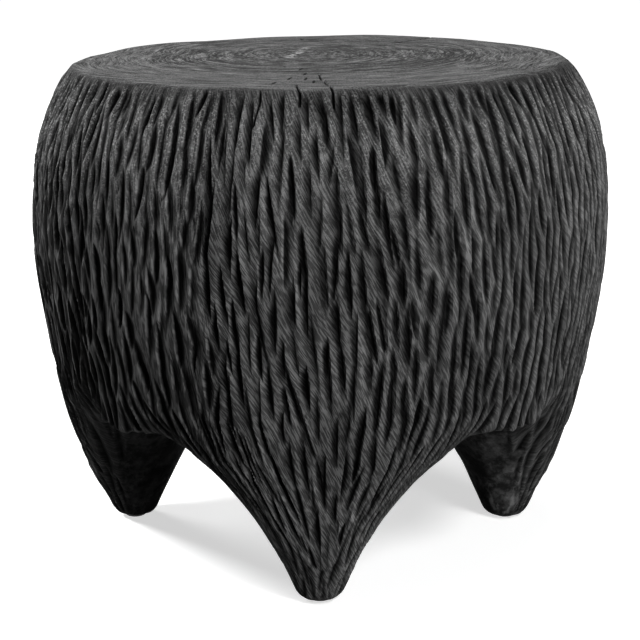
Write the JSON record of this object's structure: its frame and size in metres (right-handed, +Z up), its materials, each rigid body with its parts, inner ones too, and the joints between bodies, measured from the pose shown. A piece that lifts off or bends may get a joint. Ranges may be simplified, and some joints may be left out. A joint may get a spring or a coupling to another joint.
{
  "type": "wooden stool",
  "caption": "Black stump stool carved from one log: gouged barrel side, level end-grain seat, and arches cut underneath that leave tapering legs on nailed glides.",
  "frame": {"origin": "on the floor under the middle of the seat", "axes": "+Z up; the arches face +X, -X, +Y and -Y, and the legs stand on the diagonals; -Y is called the front"},
  "size_m": [0.4767, 0.4763, 0.405],
  "materials": {
    "black_wood": "black-stained hand-gouged wood with a dull waxed sheen",
    "glide_nylon": "moulded black nylon",
    "nail_steel": "plain drawn steel"
  },
  "bodies": {
    "root": {"carved_log": "black_wood", "foot_glide_front_left": "glide_nylon", "foot_glide_front_right": "glide_nylon", "foot_glide_rear_left": "glide_nylon", "foot_glide_rear_right": "glide_nylon", "glide_nail_front_left": "nail_steel", "glide_nail_front_right": "nail_steel", "glide_nail_rear_left": "nail_steel", "glide_nail_rear_right": "nail_steel"}
  },
  "joints": []
}
